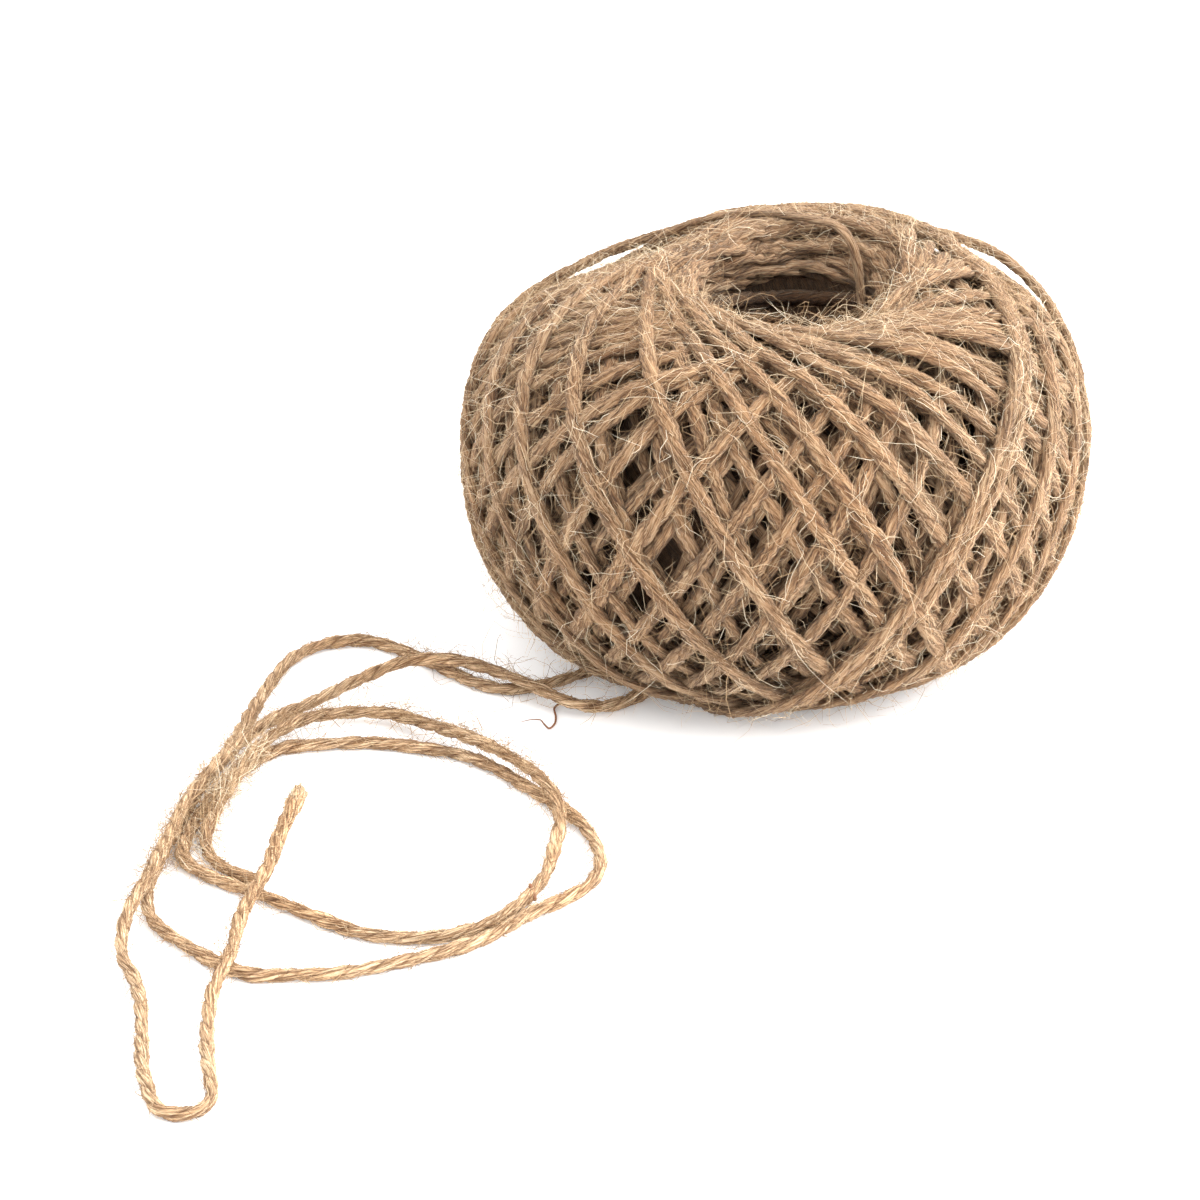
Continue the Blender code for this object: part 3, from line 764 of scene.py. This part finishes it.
def fibre_mesh(name, root, ahead, outward, length, radius, curl, lift, hug, tones, rings, seed):
    """Fine fibres as closed three-sided spindles. Each runs from its root with direction
    d(s) = cos(b(s)) e1 + sin(b(s)) e2 + w(s) e3, where b(s) = curl * s + a sin(p + q s)
    bends it in the plane of e1 and e2 and w is a slow wave, and p(s) is the sum of d(s).
    e1 leans out of the strand by lift, and hug turns e2 back towards the strand."""
    draw = np.random.default_rng(seed)
    count = len(root)
    side = np.cross(ahead, outward)
    lean = draw.uniform(0.03, lift, count)[:, None]
    sway = draw.normal(0.0, 0.3 + 0.3 * lift, count)[:, None]
    forward = ahead * np.where(draw.random(count) < 0.5, -1.0, 1.0)[:, None]
    first = forward + outward * lean + side * sway
    first /= np.linalg.norm(first, axis=1)[:, None]
    second = draw.standard_normal((count, 3)) * 0.6 - outward * hug
    second -= (second * first).sum(axis=1)[:, None] * first
    second /= np.linalg.norm(second, axis=1)[:, None]
    third = np.cross(first, second)
    s = np.linspace(0.0, 1.0, rings + 1)[None, :]
    bend = curl[:, None] * s + draw.uniform(0, 1.2, (count, 1)) * np.sin(
        draw.uniform(0, 6.28, (count, 1)) + draw.uniform(3, 9, (count, 1)) * s
    )
    bend -= bend[:, :1]
    wave = 0.5 * np.sin(draw.uniform(0, 6.28, (count, 1)) + draw.uniform(2, 7, (count, 1)) * s)
    heading = (
        np.cos(bend)[..., None] * first[:, None, :]
        + np.sin(bend)[..., None] * second[:, None, :]
        + wave[..., None] * third[:, None, :]
    )
    heading /= np.linalg.norm(heading, axis=2)[..., None]
    step = heading * (length / rings)[:, None, None]
    path = root[:, None, :] + np.cumsum(step, axis=1) - step
    path[..., 2] = np.maximum(path[..., 2], FIBRE_GAP)
    one = np.cross(heading, third[:, None, :] + 0.01)
    one /= np.linalg.norm(one, axis=2)[..., None]
    two = np.cross(heading, one)
    corner = 2 * math.pi * np.arange(3) / 3
    ring = (
        one[:, :rings, None, :] * np.cos(corner)[:, None]
        + two[:, :rings, None, :] * np.sin(corner)[:, None]
    )
    taper = radius[:, None] * (1.0 - 0.45 * s[:, :rings])
    body = path[:, :rings, None, :] + ring * taper[..., None, None]
    places = np.concatenate((body.reshape(count, -1, 3), path[:, -1:, :]), axis=1)
    each = rings * 3 + 1
    grid = np.arange(rings * 3).reshape(rings, 3)
    after = np.roll(grid, -1, axis=1)
    low, high = grid[:-1], grid[1:]
    low_next, high_next = after[:-1], after[1:]
    tube = np.concatenate((
        np.stack((low, low_next, high_next), axis=-1).reshape(-1, 3),
        np.stack((low, high_next, high), axis=-1).reshape(-1, 3),
        np.stack((grid[-1], after[-1], np.full(3, each - 1)), axis=-1),
        grid[0][None, ::-1],
    ))
    faces = (tube[None] + each * np.arange(count)[:, None, None]).reshape(-1)
    mesh = bpy.data.meshes.new(name)
    mesh.vertices.add(count * each)
    mesh.vertices.foreach_set("co", places.reshape(-1))
    mesh.loops.add(len(faces))
    mesh.loops.foreach_set("vertex_index", faces)
    mesh.polygons.add(len(faces) // 3)
    mesh.polygons.foreach_set("loop_start", np.arange(0, len(faces), 3))
    tint = np.repeat(draw.uniform(*tones, count), len(tube) * 3)
    layer = mesh.uv_layers.new(name="strand")
    layer.data.foreach_set("uv", np.stack((tint, tint), axis=-1).reshape(-1))
    mesh.update(calc_edges=True)
    mesh.validate()
    mesh.materials.append(fibre_material)
    piece = bpy.data.objects.new(name, mesh)
    bpy.context.collection.objects.link(piece)
    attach(piece, "root")
    return piece


fibre_material = bpy.data.materials.new("jute_fibre")
fibre_material.use_nodes = True
fibre_nodes = fibre_material.node_tree.nodes
fibre_link = fibre_material.node_tree.links.new
fibre_shader = fibre_nodes["Principled BSDF"]
fibre_shader.inputs["Roughness"].default_value = 0.7
fibre_shader.inputs["Specular IOR Level"].default_value = 0.3
fibre_uv = fibre_nodes.new("ShaderNodeUVMap")
fibre_uv.uv_map = "strand"
fibre_split = fibre_nodes.new("ShaderNodeSeparateXYZ")
fibre_link(fibre_uv.outputs["UV"], fibre_split.inputs[0])
fibre_ramp = colour_ramp(fibre_nodes, (
    (0.0, (0.17, 0.08, 0.03)), (0.45, (0.50, 0.33, 0.18)),
    (0.8, (0.76, 0.60, 0.40)), (1.0, (0.95, 0.85, 0.66)),
))
fibre_link(fibre_split.outputs["X"], fibre_ramp.inputs["Fac"])
fibre_link(fibre_ramp.outputs["Color"], fibre_shader.inputs["Base Color"])


def rooted(lines, count, seed):
    """Random roots on the outer half of a strand: p(s) + reach * (cos t side + sin t up), with
    t from about 0 to pi. Fewer fibres have worked loose underneath, where the strand is
    pressed down, and inside the hole."""
    reach = 0.75 * MM
    hole = 15 * MM
    inner = slice(2, -3)  # leaves out the drawn-in rings
    draw = np.random.default_rng(seed)
    line, outward = lines
    low = min(8 * MM, line[:, 2].max() / 2)
    seen = np.where(line[inner, 2] < low, 0.35, 1.0)
    seen = np.where(np.hypot(line[inner, 0], line[inner, 1]) < hole, 0.25 * seen, seen)
    index = draw.choice(len(seen), count, p=seen / seen.sum()) + inner.start
    ahead = line[index + 1] - line[index - 1]
    ahead /= np.linalg.norm(ahead, axis=1)[:, None]
    up = outward[index]
    up = up - (up * ahead).sum(axis=1)[:, None] * ahead
    up /= np.linalg.norm(up, axis=1)[:, None]
    side = np.cross(ahead, up)
    angle = draw.uniform(-0.2, math.pi + 0.2, count)[:, None]
    direction = np.cos(angle) * side + np.sin(angle) * up
    return line[index] + direction * reach, ahead, direction


def stray(name, lines, count, lengths, thick, curl, lift, hug, rings, tones, seed, slot, node):
    """Fibres of random length, the short ones most common: l = low + (high - low) * x^2."""
    root, ahead, outward = rooted(lines, count, seed)
    draw = np.random.default_rng(seed + 1)
    length = lengths[0] + (lengths[1] - lengths[0]) * draw.random(count) ** 2
    radius = thick / 2 * draw.uniform(0.6, 1.2, count)
    turns = np.abs(draw.normal(0.0, curl, count)) * length / (5 * MM)
    piece = fibre_mesh(
        name, root, ahead, outward, length, radius, turns, lift, hug, tones, rings, seed + 2
    )
    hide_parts(node)


FIBRES = (
    # name, strand, count, lengths, thickness, curl, lift, hug, rings, tones
    ("nap_last", "last", 9300, (2 * MM, 9 * MM), 0.07 * MM, 0.6, 0.16, 0.6, 3, (0.0, 0.9)),
    ("curls_last", "last", 5500, (5 * MM, 16 * MM), 0.065 * MM, 1.6, 0.45, 1.0, 5, (0.2, 1.0)),
    ("curls_second", "second", 6000, (4 * MM, 14 * MM), 0.07 * MM, 1.8, 0.6, 0.6, 4, (0.1, 1.0)),
    ("curls_third", "third", 4000, (4 * MM, 13 * MM), 0.07 * MM, 1.8, 0.8, 0.3, 4, (0.1, 0.9)),
    ("nap_tail", "tail", 800, (2 * MM, 8 * MM), 0.08 * MM, 0.6, 0.25, 0.4, 3, (0.0, 0.7)),
    ("nap_loops", "loops", 1700, (2 * MM, 8 * MM), 0.08 * MM, 0.6, 0.25, 0.4, 3, (0.0, 0.7)),
    ("curls_tail", "tail", 450, (3 * MM, 12 * MM), 0.085 * MM, 1.5, 0.9, 0.5, 5, (0.0, 0.5)),
    ("curls_loops", "loops", 1000, (3 * MM, 12 * MM), 0.085 * MM, 1.5, 0.9, 0.5, 5, (0.0, 0.5)),
    ("fuzz_bundle", "bundle", 500, (3 * MM, 11 * MM), 0.085 * MM, 1.6, 0.9, 0.7, 4, (0.2, 1.0)),
    ("tuft_tail", "tip", 160, (1.5 * MM, 4 * MM), 0.09 * MM, 0.6, 0.5, 0.2, 3, (0.5, 1.0)),
)
strands = dict(zip(("last", "second", "third"), fibre_roots))
beside = np.abs(loops_line[:, 1] + 60 * MM) < 16 * MM
bundle = loops_line[(loops_line[:, 0] < -72 * MM) & beside]  # the runs that lie together
loose_strands = {
    "tail": (tail_line, "tail_end"), "loops": (loops_line, "looped_end"),
    "bundle": (bundle, "looped_end"), "tip": (tail_line[-9:], "tail_end"),
}
for number, (name, strand, *sizes) in enumerate(FIBRES):
    if strand in loose_strands:
        line, node = loose_strands[strand]
        lines, slot = (line, np.tile((0.0, 0.0, 1.0), (len(line), 1))), "jute_twine"
    else:
        lines, node, slot = strands[strand], "wound_ball", "jute_winding"
    stray(name, lines, *sizes, 60 + 5 * number, slot, node)


# Table top and light.
# A white sweep under one large soft light high on the right, and white light from all
# round, as in a light tent.
FLOOR = 3.0
floor_mesh = bpy.data.meshes.new("floor")
floor_mesh.from_pydata(
    [(-FLOOR, -FLOOR, 0), (FLOOR, -FLOOR, 0), (FLOOR, FLOOR, 0), (-FLOOR, FLOOR, 0)],
    [],
    [(0, 1, 2, 3)],
)
floor = bpy.data.objects.new("floor", floor_mesh)
bpy.context.collection.objects.link(floor)
floor_material = bpy.data.materials.new("floor_white")
floor_material.use_nodes = True
floor_shader = floor_material.node_tree.nodes["Principled BSDF"]
floor_shader.inputs["Base Color"].default_value = (0.92, 0.92, 0.92, 1.0)
floor_shader.inputs["Roughness"].default_value = 0.8
floor_shader.inputs["Specular IOR Level"].default_value = 0.1
floor_shader.inputs["Emission Color"].default_value = (1.0, 1.0, 1.0, 1.0)
floor_shader.inputs["Emission Strength"].default_value = 0.15
floor_mesh.materials.append(floor_material)

KEY_PLACE = (0.98, 0.0, 0.76)
KEY_SIZE = 1.8
KEY_WATTS = 47.0
TENT_STRENGTH = 2.1
key_data = bpy.data.lights.new("key", "AREA")
key_data.shape = "DISK"
key_data.size = KEY_SIZE
key_data.energy = KEY_WATTS
key = bpy.data.objects.new("key", key_data)
key.location = KEY_PLACE
aim = np.array((0.0, 0.0, HALF_HEIGHT)) - np.array(KEY_PLACE)  # at the middle of the ball
key.rotation_euler = (
    math.pi / 2 + math.atan2(aim[2], math.hypot(aim[0], aim[1])),
    0.0,
    math.atan2(aim[1], aim[0]) - math.pi / 2,
)
bpy.context.collection.objects.link(key)

world = bpy.data.worlds.new("tent")
world.use_nodes = True
tent = world.node_tree.nodes["Background"]
tent.inputs["Color"].default_value = (1.0, 1.0, 1.0, 1.0)
tent.inputs["Strength"].default_value = TENT_STRENGTH
bpy.context.scene.world = world
bpy.context.scene.view_settings.view_transform = "Standard"
